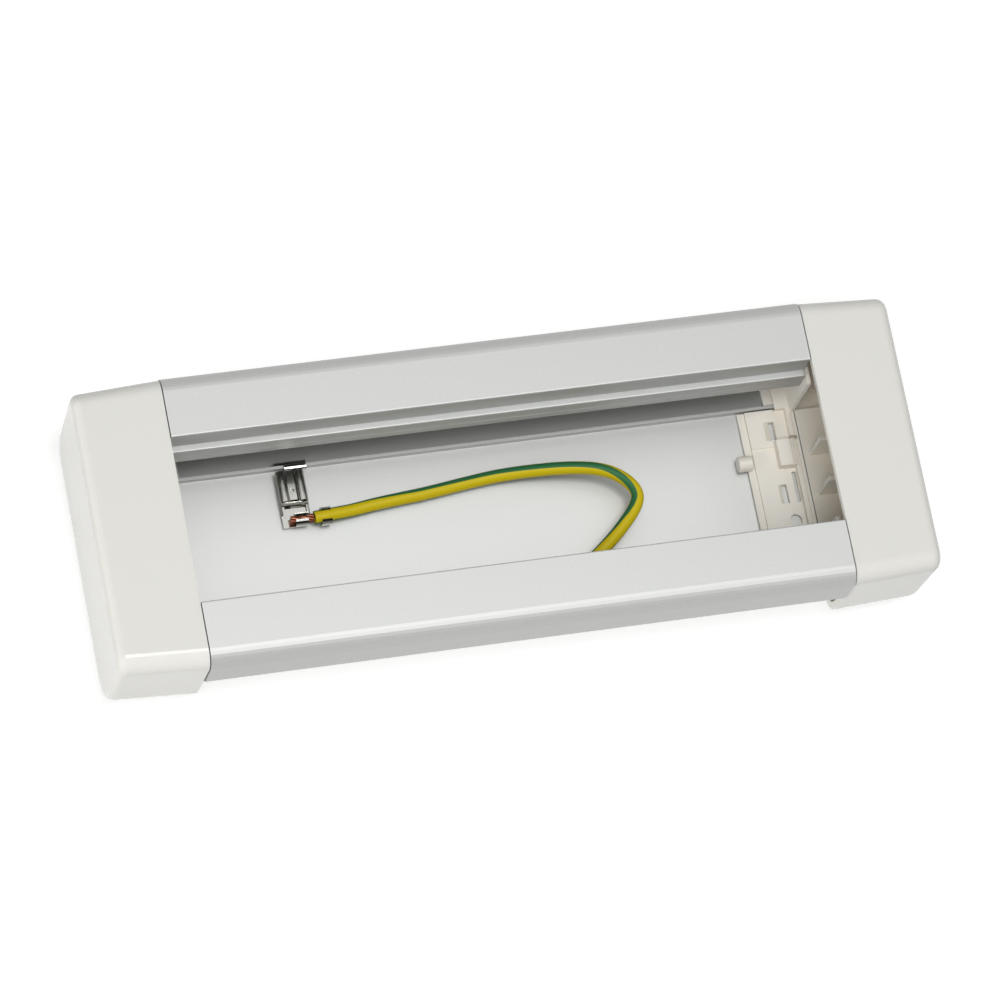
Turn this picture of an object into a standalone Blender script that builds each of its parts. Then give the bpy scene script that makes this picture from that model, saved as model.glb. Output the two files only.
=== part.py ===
"""Desktop socket housing: an aluminium profile with a 45 mm device channel, closed by two moulded caps.

X runs along the profile, Y across it and Z up, in metres. The origin is on the desk, under the
middle of the housing. Sections are drawn from the middle of the top face, so their heights are negative.
"""

import math

import bmesh
import bpy
from mathutils import Euler, Matrix, Vector

# Aluminium profile
PROFILE_LENGTH = 0.1728
HOUSING_WIDTH = 0.0796
PROFILE_DEPTH = 0.0348
PROFILE_WALL = 0.0016
FLOOR_WALL = 0.0015
BASE_WIDTH = 0.0590
SIDE_DEPTH = 0.0145
SHOULDER_RADIUS = 0.0045
BEND_RADIUS = 0.0030

# Lips beside the device channel
CHANNEL_WIDTH = 0.0450
LEDGE_DEPTH = 0.0078
LEDGE_WIDTH = 0.0018
LIP_DEPTH = 0.0157
LIP_EDGE_RADIUS = 0.0004
GROOVE_DEPTH = 0.0122
GROOVE_SIZE = 0.00035

# Clip ribs on the channel's floor
RIB_SPACING = 0.0412
RIB_HEIGHT = 0.0021
RIB_WALL = 0.0008

# Screw ports under the flanges
PORT_DEPTH = 0.0060
PORT_WALL = 0.0012
PORT_WEB = 0.0016
PORT_SHIFT = 0.0004
PORT_SLOT_DEGREES = 50.0

# End caps
CAP_LENGTH = 0.0241
CAP_DROP = 0.0002
CAP_WALL = 0.0020
CAP_DRAFT = 0.0015
CAP_TAPER = 0.0013
CAP_LOWER_RADIUS = 0.0085
CAP_EDGE_RADIUS = 0.0022
GUSSET_WALL = 0.0012
GUSSET_HEIGHT = 0.0122
GUSSET_SPACING_SHARE = 0.60
GUSSET_SETBACK = 0.0034
GUSSET_MIDDLE_SHARE = -0.274
GUSSET_COUNT = 3
PLATFORM_HEIGHT = 0.0027
PLATFORM_INSET = 0.0208

# End plates, which close the profile's ends inside the caps
PLATE_WALL = 0.0010
PLATE_EAR_WIDTH = 0.0060
PLATE_TOP_DEPTH = 0.0084
PLATE_EDGE_RADIUS = 0.0012
WINDOW_WIDTH = 0.0372
SILL_RISE = 0.0031
SILL_WIDTH = 0.0009
SILL_GROOVE = 0.0004

# Foot of the end plate, on the channel's floor
FOOT_LENGTH = 0.0139
FOOT_PLATE = 0.0016
FOOT_STEP = 0.0004
FOOT_STEP_SHARE = 0.471
FOOT_TOE_LENGTH = 0.0020
FOOT_TOE_DROP = 0.0011
FOOT_TOE_RIM = 0.0005
FOOT_SHELF = 0.0044
WING_LENGTH = 0.0060
WING_WIDTH = 0.0050
WING_PLATE = 0.0011
BRIDGE_LENGTH = 0.0036
BRIDGE_PLATE = 0.0006

# Peg, latch, slots, pocket and hole of the foot
PEG_RADIUS = 0.0021
PEG_LENGTH = 0.0046
PEG_SHARE = 0.277
PEG_TIP_RADIUS = 0.0003
LATCH_LENGTH = 0.0049
LATCH_WIDTH = 0.0074
LATCH_HEIGHT = 0.0030
LATCH_SLOPE = 0.0007
LATCH_GROOVE = 0.0005
LATCH_SETBACK = 0.0006
LATCH_SHARE = 0.345
SLOT_LENGTH = 0.0030
SLOT_WIDTH = 0.0053
SLOT_PITCH_SHARE = 0.869
SLOT_FLAT = 0.0014
SLOT_SHARE = 0.689
POCKET_LENGTH = 0.0011
POCKET_WIDTH = 0.0087
POCKET_SHARE = -0.097
HOLE_RADIUS = 0.0016
HOLE_SETBACK = 0.0036
HOLE_SHARE = -0.544
LATCH_RELIEF = 0.0012

# Screws through the end plates into the ports, and from below into the end plates' bosses
PLATE_SCREW_RADIUS = 0.00145
PLATE_SCREW_LENGTH = 0.0100
CAP_SCREW_RADIUS = 0.00125
CAP_SCREW_LENGTH = 0.0080
SCREW_HEAD_HEIGHT = 0.0018
SCREW_HEAD_OVERHANG = 0.0013
RECESS_WIDTH = 0.0006
RECESS_DEPTH = 0.0009
CAP_SCREW_INSET = 0.0118
CAP_SCREW_SETBACK = 0.0091
HEAD_POCKET_DEPTH = 0.0026
BOSS_WALL = 0.0021
BOSS_HEIGHT = 0.0080
BOSS_WEB = 0.0016
SCREW_CLEARANCE = 0.0003

# Rubber feet under the caps
RUBBER_RADIUS = 0.0045
RUBBER_THICKNESS = 0.0020
RUBBER_SEAT = 0.0008
RUBBER_INSET = 0.0158
RUBBER_SETBACK = 0.0072

# Cable entry in the right cap, with its grommet
ENTRY_SHARE = 0.457
ENTRY_RADIUS = 0.0063
ENTRY_RECESS = 0.0011
GROMMET_BORE = 0.0038
GROMMET_FLANGE = 0.0007
GROMMET_LIP = 0.0012
GROMMET_OVERHANG = 0.0028

# Earth clip over the far rib
CLIP_SHEET = 0.0006
CLIP_WIDTH = 0.0084
CLIP_HOOK_WIDTH = 0.0058
CLIP_X = -0.0508
CLIP_BEND_RADIUS = 0.0005
TAB_WIDTH = 0.0063
TAB_SHEET = 0.0008
TAB_LENGTH = 0.0082
TAB_HOLE_RADIUS = 0.0007
TAB_HOLE_INSET = 0.0027

# Flag receptacle on the tab
SOCKET_X = -0.0514
SOCKET_SHEET = 0.0004
SOCKET_LENGTH = 0.0085
SOCKET_ROLL_RADIUS = 0.00125
SOCKET_ROLL_DEGREES = 150.0
NECK_LENGTH = 0.0035
NECK_ROLL_RADIUS = 0.0005
NECK_ROLL_DEGREES = 110.0
SADDLE_LENGTH = 0.0018
SADDLE_HEIGHT = 0.0016
FLAG_WIDTH = 0.0030
WIRE_CRIMP_LENGTH = 0.0034
WIRE_CRIMP_X = -0.0505
GRIP_CRIMP_LENGTH = 0.0027
GRIP_CRIMP_X = -0.0439
WIRE_OPEN_DEGREES = 26.0
GRIP_OPEN_DEGREES = 70.0
CRIMP_TO_FLAG = 0.0016

# Earth lead, its bare strands and its ferrule
LEAD_DIAMETER = 0.0035
STRAND_RADIUS = 0.00038
STRAND_LENGTH = 0.0061
STRAND_COUNT = 6
LEAD_START_X = -0.0469
FERRULE_RADIUS = 0.0011
FERRULE_LENGTH = 0.0080
COLLAR_RADIUS = 0.0021
COLLAR_LENGTH = 0.0050
LEAD_POINT_SPACING = 0.0035
LEAD_LANE = 0.0042

# Gap between pieces that touch
SEAT_GAP = 0.0003

ARC_STEPS = 8
SMALL_ARC_STEPS = 3
ROUND_SIDES = 24

# The lead's route from the receptacle, along the floor, in a raised loop over the near rib and back
# under the near flange: x, the share of the way from the crimp across to the near lane, and the
# height above the channel's floor
LEAD_ROUTE_SHARES = (
    (-0.0469, 0.0000, 0.00275), (-0.0445, -0.0032, 0.00275), (-0.0415, -0.0127, 0.0026),
    (-0.0365, -0.0287, 0.00215), (-0.0305, -0.0541, 0.0021), (-0.0231, -0.0764, 0.0021),
    (-0.0172, -0.0924, 0.0021), (-0.0105, -0.1178, 0.0021), (-0.0037, -0.1433, 0.00225),
    (0.0032, -0.1624, 0.00265), (0.0094, -0.1640, 0.0033), (0.0145, -0.1561, 0.0041),
    (0.0192, -0.1433, 0.0049), (0.0241, -0.1242, 0.0055), (0.0287, -0.0955, 0.006),
    (0.0323, -0.0573, 0.0063), (0.0348, -0.0127, 0.0065), (0.0371, 0.0478, 0.0066),
    (0.0387, 0.1146, 0.0067), (0.0394, 0.1720, 0.0067), (0.03935, 0.2261, 0.0067),
    (0.0385, 0.2866, 0.0067), (0.0371, 0.3471, 0.00665), (0.0354, 0.4045, 0.0066),
    (0.033, 0.4809, 0.0064), (0.0304, 0.5541, 0.0062), (0.0278, 0.6210, 0.006),
    (0.024, 0.7134, 0.0056), (0.0195, 0.8089, 0.0049), (0.0145, 0.8917, 0.0042),
    (0.009, 0.9554, 0.003), (0.003, 0.9904, 0.0022), (-0.004, 1.0000, 0.0021),
    (-0.012, 0.9968, 0.0021), (-0.02, 0.9873, 0.0021), (-0.028, 0.9904, 0.0021),
    (-0.036, 0.9968, 0.0023), (-0.044, 1.0000, 0.0024),
)

# Places worked out from the sizes above
JOINT_X = PROFILE_LENGTH / 2
END_X = JOINT_X + CAP_LENGTH
HALF_WIDTH = HOUSING_WIDTH / 2
HALF_CHANNEL = CHANNEL_WIDTH / 2
HALF_WINDOW = WINDOW_WIDTH / 2
PORT_Y = (HALF_CHANNEL + HALF_WIDTH) / 2 - PORT_SHIFT
CAP_SCREW_Y = HALF_WIDTH - CAP_SCREW_INSET
RUBBER_Y = HALF_WIDTH - RUBBER_INSET
CAP_DEPTH = PROFILE_DEPTH + CAP_DROP
ENTRY_Z = -CAP_DEPTH * ENTRY_SHARE
FLOOR_Z = FLOOR_WALL - PROFILE_DEPTH
SILL_Z = FLOOR_Z + SILL_RISE
RUBBER_STAND = RUBBER_THICKNESS - RUBBER_SEAT + SEAT_GAP
TOP_Z = CAP_DEPTH + RUBBER_STAND
PLATE_X = JOINT_X + SEAT_GAP
PLATE_BACK_X = PLATE_X + PLATE_WALL
PORT_BORE = PLATE_SCREW_RADIUS + SCREW_CLEARANCE
FOOT_X = JOINT_X - FOOT_LENGTH
FOOT_Z = FLOOR_Z + SEAT_GAP
FOOT_TOP_Z = FOOT_Z + FOOT_PLATE
RIB_IN_Y = RIB_SPACING / 2
RIB_OUT_Y = RIB_IN_Y + RIB_WALL
FOOT_STEP_Y = RIB_IN_Y * FOOT_STEP_SHARE
PEG_Y = RIB_IN_Y * PEG_SHARE
LATCH_Y = RIB_IN_Y * LATCH_SHARE
SLOT_Y = RIB_IN_Y * SLOT_SHARE
SLOT_PITCH = RIB_IN_Y * SLOT_PITCH_SHARE
POCKET_Y = RIB_IN_Y * POCKET_SHARE
HOLE_Y = RIB_IN_Y * HOLE_SHARE
RIB_TOP_Z = FLOOR_Z + RIB_HEIGHT
CAP_SCREW_X = JOINT_X + CAP_SCREW_SETBACK
CAP_SCREW_BORE = CAP_SCREW_RADIUS + SCREW_CLEARANCE
CAP_SEAT_Z = HEAD_POCKET_DEPTH - CAP_DEPTH
BOSS_Z = CAP_SEAT_Z + CAP_WALL + SEAT_GAP
TAB_Z = RIB_TOP_Z + SEAT_GAP - TAB_SHEET
TAB_FRONT_Y = RIB_IN_Y - SEAT_GAP - CLIP_SHEET
SOCKET_BASE_Z = TAB_Z - SEAT_GAP - SOCKET_SHEET
SOCKET_FRONT_Y = TAB_FRONT_Y - SEAT_GAP
NECK_Y = SOCKET_FRONT_Y - SOCKET_LENGTH
FLAG_Y = NECK_Y - NECK_LENGTH
LEAD_Y = FLAG_Y - CRIMP_TO_FLAG
LANE_Y = -RIB_OUT_Y - LEAD_LANE
LEAD_ROUTE = [(x, LEAD_Y + share * (LANE_Y - LEAD_Y), FLOOR_Z + rise) for x, share, rise in LEAD_ROUTE_SHARES]
LEAD_Z = LEAD_ROUTE[0][2]


def material(name, colour, roughness, metallic=0.0):
    """A Principled material from a linear colour."""
    made = bpy.data.materials.new(name)
    made.use_nodes = True
    shader = made.node_tree.nodes["Principled BSDF"]
    shader.inputs["Base Color"].default_value = (*colour, 1.0)
    shader.inputs["Roughness"].default_value = roughness
    shader.inputs["Metallic"].default_value = metallic
    return made


def add_object(name, mesh):
    """An object in the work collection, hung from the point in the middle of the top face."""
    made = bpy.data.objects.new(name, mesh)
    PARTS.objects.link(made)
    made.parent = TOP_FACE
    return made


def bake(source):
    """Replace an object by the mesh that it evaluates to, in the top face's frame."""
    bpy.context.view_layer.update()
    graph = bpy.context.evaluated_depsgraph_get()
    mesh = bpy.data.meshes.new_from_object(source.evaluated_get(graph))
    mesh.transform(source.matrix_basis)
    work = bmesh.new()
    work.from_mesh(mesh)
    bmesh.ops.remove_doubles(work, verts=work.verts, dist=1e-7)
    bmesh.ops.recalc_face_normals(work, faces=work.faces)
    work.to_mesh(mesh)
    work.free()
    name = source.name
    bpy.data.objects.remove(source)
    return add_object(name, mesh)


def extruded(name, outline, low, high, axis):
    """A flat outline given thickness from low to high along axis.

    The outline is in (y, z) for X, in (x, z) for Y and in (x, y) for Z.
    """
    turns = {"X": (math.pi / 2, 0.0, math.pi / 2), "Y": (math.pi / 2, 0.0, 0.0), "Z": (0.0, 0.0, 0.0)}
    curve = bpy.data.curves.new(name, "CURVE")
    curve.dimensions = "2D"
    curve.fill_mode = "BOTH"
    curve.extrude = abs(high - low) / 2
    spline = curve.splines.new("POLY")
    spline.points.add(len(outline) - 1)
    for point, (u, v) in zip(spline.points, outline):
        point.co = (u, v, 0.0, 1.0)
    spline.use_cyclic_u = True
    made = add_object(name, curve)
    made.rotation_euler = turns[axis]
    made.location["XYZ".index(axis)] = (low + high) / 2
    return bake(made)


def box(name, low, high):
    """A block between two corners."""
    bpy.ops.mesh.primitive_cube_add(size=1.0)
    cube = bpy.context.object
    mesh = cube.data
    bpy.data.objects.remove(cube)
    middle = [(a + b) / 2 for a, b in zip(low, high)]
    sizes = [abs(b - a) for a, b in zip(low, high)]
    mesh.transform(Matrix.Translation(middle) @ Matrix.Diagonal((*sizes, 1.0)))
    return add_object(name, mesh)


def rod(name, radius, start, end, sides=ROUND_SIDES):
    """A cylinder from start to end."""
    start, end = Vector(start), Vector(end)
    bpy.ops.mesh.primitive_cylinder_add(vertices=sides, radius=radius, depth=(end - start).length)
    cylinder = bpy.context.object
    mesh = cylinder.data
    bpy.data.objects.remove(cylinder)
    turn = (end - start).to_track_quat("Z", "Y").to_matrix().to_4x4()
    mesh.transform(Matrix.Translation((start + end) / 2) @ turn)
    return add_object(name, mesh)


def turned(name, profile, sides=ROUND_SIDES):
    """A profile of (radius, height) points, from the top down, turned about Z."""
    mesh = bpy.data.meshes.new(name)
    points = [(radius, 0.0, height) for radius, height in profile]
    mesh.from_pydata(points, [(i, i + 1) for i in range(len(points) - 1)], [])
    made = add_object(name, mesh)
    turn = made.modifiers.new("turn", "SCREW")
    turn.steps = turn.render_steps = sides
    turn.use_merge_vertices = True
    turn.merge_threshold = 1e-6
    return bake(made)


def combine(target, operand, operation):
    """Cut operand out of target, or join it on, and keep the name of target."""
    step = target.modifiers.new(operation.lower(), "BOOLEAN")
    step.operation = operation
    step.solver = "EXACT"
    step.object = operand
    made = bake(target)
    bpy.data.objects.remove(operand)
    return made


def cut(target, *operands):
    for operand in operands:
        target = combine(target, operand, "DIFFERENCE")
    return target


def join(target, *operands):
    for operand in operands:
        target = combine(target, operand, "UNION")
    return target


def arc(centre, radius, start, end, steps=ARC_STEPS):
    """Points on an arc, with its angles in degrees and both ends included."""
    angles = [math.radians(start + (end - start) * step / steps) for step in range(steps + 1)]
    return [(centre[0] + radius * math.cos(a), centre[1] + radius * math.sin(a)) for a in angles]


def filleted(corners):
    """A closed outline through (u, v, fillet radius) corners."""
    outline = []
    for index, (u, v, radius) in enumerate(corners):
        corner = Vector((u, v))
        if radius <= 0.0:
            outline.append((u, v))
            continue
        before = (Vector(corners[index - 1][:2]) - corner).normalized()
        after = (Vector(corners[(index + 1) % len(corners)][:2]) - corner).normalized()
        half = math.acos(max(-1.0, min(1.0, before.dot(after)))) / 2
        centre = corner + (before + after).normalized() * radius / math.sin(half)
        reach = radius / math.tan(half)
        first = corner + before * reach - centre
        last = corner + after * reach - centre
        start = math.degrees(math.atan2(first.y, first.x))
        sweep = math.degrees(math.atan2(first.x * last.y - first.y * last.x, first.dot(last)))
        steps = ARC_STEPS if radius > LIP_EDGE_RADIUS * 2 else SMALL_ARC_STEPS
        outline.extend(arc(centre, radius, start, start + sweep, steps))
    return outline


def both_halves(right):
    """A symmetric outline's corners, from those of its right half."""
    return right + [(-u, v, radius) for u, v, radius in reversed(right)]


def sheet_outline(path, thickness):
    """The outline of a bent strip of sheet metal along a path through its middle."""
    points = [Vector(p) for p in path]
    runs = [(after - before).normalized() for before, after in zip(points, points[1:])]
    left, right = [], []
    for point, behind, ahead in zip(points, runs[:1] + runs, runs + runs[-1:]):
        middle = (ahead + behind).normalized()
        side = Vector((-middle.y, middle.x)) * thickness / 2 / max(0.5, middle.dot(behind))
        left.append(tuple(point + side))
        right.append(tuple(point - side))
    return left + right[::-1]


def port_path():
    """The inner outline round a screw port that hangs from the flange, open on its lower side."""
    centre = (PORT_Y, -PORT_DEPTH)
    outside = PORT_BORE + PORT_WALL
    meet = math.degrees(math.acos(PORT_WEB / 2 / outside))
    slot = PORT_SLOT_DEGREES / 2
    path = [(centre[0] - PORT_WEB / 2, -PROFILE_WALL)]
    path += arc(centre, outside, 180.0 - meet, 270.0 - slot)
    path += arc(centre, PORT_BORE, 270.0 - slot, slot - 90.0, ARC_STEPS * 2)
    path += arc(centre, outside, slot - 90.0, meet)
    path += [(centre[0] + PORT_WEB / 2, -PROFILE_WALL)]
    return [(u, v, 0.0) for u, v in path]


def make_profile():
    """The extrusion: flanges, stepped lips, sides that turn inward, ribbed floor and screw ports."""
    leg_y = HALF_CHANNEL - LEDGE_WIDTH
    run = HALF_WIDTH - BASE_WIDTH / 2
    drop = PROFILE_DEPTH - SIDE_DEPTH
    shift = PROFILE_WALL * math.hypot(run, drop) / drop
    inner_bend = SIDE_DEPTH + (PROFILE_WALL - shift) * drop / run
    inner_floor_y = HALF_WIDTH - shift - run * (-FLOOR_Z - SIDE_DEPTH) / drop
    right = [
        (BASE_WIDTH / 2, -PROFILE_DEPTH, BEND_RADIUS),
        (HALF_WIDTH, -SIDE_DEPTH, BEND_RADIUS),
        (HALF_WIDTH, 0.0, SHOULDER_RADIUS),
        (HALF_CHANNEL, 0.0, LIP_EDGE_RADIUS),
        (HALF_CHANNEL, -LEDGE_DEPTH, 0.0),
        (leg_y, -LEDGE_DEPTH, LIP_EDGE_RADIUS),
        (leg_y, GROOVE_SIZE - GROOVE_DEPTH, 0.0),
        (leg_y + GROOVE_SIZE, -GROOVE_DEPTH, 0.0),
        (leg_y, -GROOVE_SIZE - GROOVE_DEPTH, 0.0),
        (leg_y, -LIP_DEPTH, LIP_EDGE_RADIUS),
        (leg_y + PROFILE_WALL, -LIP_DEPTH, LIP_EDGE_RADIUS),
        (leg_y + PROFILE_WALL, -LEDGE_DEPTH - PROFILE_WALL, 0.0),
        (HALF_CHANNEL + PROFILE_WALL, -LEDGE_DEPTH - PROFILE_WALL, 0.0),
        (HALF_CHANNEL + PROFILE_WALL, -PROFILE_WALL, LIP_EDGE_RADIUS),
    ]
    right += port_path()
    right += [
        (HALF_WIDTH - PROFILE_WALL, -PROFILE_WALL, SHOULDER_RADIUS - PROFILE_WALL),
        (HALF_WIDTH - PROFILE_WALL, -inner_bend, BEND_RADIUS - PROFILE_WALL),
        (inner_floor_y, FLOOR_Z, BEND_RADIUS - PROFILE_WALL),
        (RIB_OUT_Y, FLOOR_Z, 0.0),
        (RIB_OUT_Y, RIB_TOP_Z, 0.0),
        (RIB_IN_Y, RIB_TOP_Z, 0.0),
        (RIB_IN_Y, FLOOR_Z, 0.0),
    ]
    return extruded("housing_profile", filleted(both_halves(right)), -JOINT_X, JOINT_X, "X")


def cap_outline(inset, top):
    """The section of a cap, moved inward by inset, with its upper edge at height top."""
    half = HALF_WIDTH - inset
    low = half - CAP_DRAFT
    shoulder = max(SHOULDER_RADIUS - inset, LIP_EDGE_RADIUS)
    return both_halves([(low, inset - CAP_DEPTH, CAP_LOWER_RADIUS - inset), (half, top, shoulder)])


def cap_body(name, inset, start):
    """The outer or inner form of the right cap: drafted sides, tapering towards a rounded end."""
    end = END_X - inset
    body = extruded(name, filleted(cap_outline(inset, -inset)), start, end, "X")
    work = bmesh.new()
    work.from_mesh(body.data)
    flat_end = [f for f in work.faces if all(abs(v.co.x - end) < 1e-6 for v in f.verts)]
    face = bmesh.ops.dissolve_faces(work, faces=flat_end)["region"][0]
    radius = max(CAP_EDGE_RADIUS - inset, LIP_EDGE_RADIUS)
    bmesh.ops.bevel(work, geom=list(face.edges), offset=radius, segments=4, profile=0.5, affect="EDGES")
    for vertex in work.verts:
        along = max(0.0, vertex.co.x - JOINT_X) / CAP_LENGTH
        vertex.co.y *= 1.0 - along * CAP_TAPER / HALF_WIDTH
    bmesh.ops.triangulate(work, faces=work.faces)
    work.to_mesh(body.data)
    work.free()
    return body


def make_cap(name, has_entry):
    """A cap at the right end: hollow shell, gussets, screw bosses, foot seats and the cable entry."""
    cap = cap_body(name, 0.0, PLATE_X)
    cap = cut(cap, cap_body("hollow", CAP_WALL, JOINT_X))
    floor = CAP_WALL - CAP_DEPTH
    overlap = CAP_WALL / 2
    back = END_X - overlap
    half = HALF_WIDTH - PLATFORM_INSET
    platform_x = PLATE_BACK_X + SEAT_GAP
    cap = join(cap,
               box("platform", (platform_x, -half, floor - overlap), (back, half, floor + PLATFORM_HEIGHT)))
    relief = half - CAP_WALL
    cap = cut(cap, box("relief", (platform_x + CAP_WALL, -relief, -CAP_DEPTH - overlap),
                       (END_X - RUBBER_SETBACK + RUBBER_RADIUS, relief, PLATFORM_HEIGHT - CAP_DEPTH)))
    low = floor + PLATFORM_HEIGHT / 2
    for index in range(GUSSET_COUNT):
        y = half * (GUSSET_MIDDLE_SHARE + GUSSET_SPACING_SHARE * (index - (GUSSET_COUNT - 1) / 2))
        front = JOINT_X + GUSSET_SETBACK
        high = floor + PLATFORM_HEIGHT + GUSSET_HEIGHT
        shape = [(front, low), (back, low), (back, high), (front, high)]
        cap = join(cap, extruded("gusset", shape, y - GUSSET_WALL / 2, y + GUSSET_WALL / 2, "Y"))
    head_radius = CAP_SCREW_RADIUS + SCREW_HEAD_OVERHANG + SCREW_CLEARANCE
    for y in (-CAP_SCREW_Y, CAP_SCREW_Y):
        below = -CAP_DEPTH - overlap
        boss_top = CAP_SEAT_Z + CAP_WALL
        cap = join(cap,
                   rod("boss", head_radius + BOSS_WALL / 2, (CAP_SCREW_X, y, floor - overlap),
                       (CAP_SCREW_X, y, boss_top)))
        cap = cut(cap,
                  rod("head_pocket", head_radius, (CAP_SCREW_X, y, below), (CAP_SCREW_X, y, CAP_SEAT_Z)),
                  rod("screw_hole", CAP_SCREW_BORE, (CAP_SCREW_X, y, below),
                      (CAP_SCREW_X, y, boss_top + overlap)))
    for y in (-RUBBER_Y, RUBBER_Y):
        seat_x = END_X - RUBBER_SETBACK
        seat = rod("seat", RUBBER_RADIUS + SEAT_GAP, (seat_x, y, -CAP_DEPTH - overlap),
                   (seat_x, y, RUBBER_SEAT - CAP_DEPTH))
        cap = cut(cap, seat)
    if has_entry:
        flange = ENTRY_RADIUS + GROMMET_OVERHANG
        recess = rod("recess", flange, (END_X - ENTRY_RECESS, 0.0, ENTRY_Z), (END_X + overlap, 0.0, ENTRY_Z),
                     32)
        hole = rod("entry", ENTRY_RADIUS, (END_X - CAP_WALL * 2, 0.0, ENTRY_Z),
                   (END_X + overlap, 0.0, ENTRY_Z), 32)
        lip = ENTRY_RADIUS + GROMMET_LIP + SEAT_GAP
        room = rod("room", lip, (END_X - CAP_WALL * 3, 0.0, ENTRY_Z), (END_X - CAP_WALL, 0.0, ENTRY_Z), 32)
        cap = cut(cap, recess, hole, room)
    return cap


def make_grommet():
    """The rubber grommet of the cable entry: outer flange in the recess, neck, and lip inside."""
    neck = ENTRY_RADIUS - SEAT_GAP
    flange = ENTRY_RADIUS + GROMMET_OVERHANG - SEAT_GAP
    lip = ENTRY_RADIUS + GROMMET_LIP
    flange_back = -ENTRY_RECESS + SEAT_GAP
    lip_front = -CAP_WALL - SEAT_GAP
    profile = [
        (GROMMET_BORE, flange_back + GROMMET_FLANGE), (flange, flange_back + GROMMET_FLANGE),
        (flange, flange_back), (neck, flange_back), (neck, lip_front), (lip, lip_front),
        (neck, lip_front - GROMMET_LIP), (GROMMET_BORE, lip_front - GROMMET_LIP),
        (GROMMET_BORE, flange_back + GROMMET_FLANGE),
    ]
    grommet = turned("cable_grommet", profile, 32)
    grommet.data.transform(Matrix.Translation((END_X, 0.0, ENTRY_Z)) @ Matrix.Rotation(math.pi / 2, 4, "Y"))
    return grommet


def plate_wall(name):
    """The U-shaped wall at the profile's end, with an ear in front of each screw port."""
    inset = CAP_WALL + SEAT_GAP
    lower, upper = cap_outline(inset, -inset)[:2]
    ear_y = PORT_Y - PLATE_EAR_WIDTH
    side = (upper[0] - CAP_TAPER / 4, upper[1], upper[2])
    bottom = (lower[0] - CAP_TAPER / 4, lower[1], lower[2])
    right = [
        bottom, side,
        (ear_y, -inset, LIP_EDGE_RADIUS),
        (ear_y, -PLATE_TOP_DEPTH, LIP_EDGE_RADIUS),
        (HALF_WINDOW, -PLATE_TOP_DEPTH, PLATE_EDGE_RADIUS),
        (HALF_WINDOW, SILL_Z, LIP_EDGE_RADIUS),
    ]
    return extruded(name, filleted(both_halves(right)), PLATE_X, PLATE_BACK_X, "X")


def slot_cutter(y):
    """A ramped slot: level with the foot at its inner end, through it at its outer end."""
    end = JOINT_X - FOOT_SHELF
    start = end - SLOT_LENGTH
    over = FOOT_TOP_Z + FOOT_PLATE
    under = FOOT_Z - FOOT_PLATE
    ramp = [(start, FOOT_TOP_Z), (start, over), (end, over), (end, under), (end - SLOT_FLAT, under),
            (end - SLOT_FLAT, FOOT_Z + FOOT_PLATE / 3)]
    return extruded("slot", ramp, y - SLOT_WIDTH / 2, y + SLOT_WIDTH / 2, "Y")


def bridge_outline(side):
    """The section of the strip that passes over a rib, with a riser at each side of it."""
    slack = FOOT_STEP / 4
    low = FOOT_Z + FOOT_STEP
    under = RIB_TOP_Z + SEAT_GAP
    top = under + BRIDGE_PLATE
    foot_half = RIB_IN_Y - SEAT_GAP
    wing_in = RIB_OUT_Y + SEAT_GAP
    start, end = foot_half - FOOT_STEP, wing_in + WING_WIDTH - slack
    beyond = wing_in + WING_PLATE
    section = [(start, low), (start, top), (end, top), (end, under + slack), (beyond, under + slack),
               (beyond, low), (wing_in + slack, low), (wing_in + slack, under),
               (foot_half - slack, under), (foot_half - slack, low)]
    return [(side * y, z) for y, z in section]


def add_shelf(plate):
    """The strips inside the profile's end: a shelf and grooved sill, with a wing beyond each rib."""
    inside = PLATE_X + PLATE_WALL / 2
    foot_half = RIB_IN_Y - SEAT_GAP
    wing_in = RIB_OUT_Y + SEAT_GAP
    wing_out = wing_in + WING_WIDTH
    slack = FOOT_STEP / 4
    shelf_top = FOOT_TOP_Z - 2 * FOOT_STEP
    shelf = box("shelf", (JOINT_X - FOOT_SHELF, -foot_half, FOOT_Z), (inside, foot_half, shelf_top))
    sill = box("sill", (JOINT_X - SILL_WIDTH, -foot_half, FOOT_Z), (inside, foot_half, SILL_Z - slack / 2))
    plate = join(plate, shelf, sill)
    for side in (-1, 1):
        wing = box("wing", (JOINT_X - WING_LENGTH, side * wing_in, FOOT_Z),
                   (inside, side * wing_out, FOOT_Z + WING_PLATE))
        bridge = extruded("bridge", bridge_outline(side), JOINT_X - BRIDGE_LENGTH, inside, "X")
        plate = join(plate, wing, bridge)
    groove_half = HALF_WINDOW - FOOT_STEP
    groove = box("groove", (JOINT_X, -groove_half, SILL_Z - SILL_GROOVE),
                 (PLATE_X + slack, groove_half, SILL_Z + SILL_GROOVE))
    return cut(plate, groove)


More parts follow.
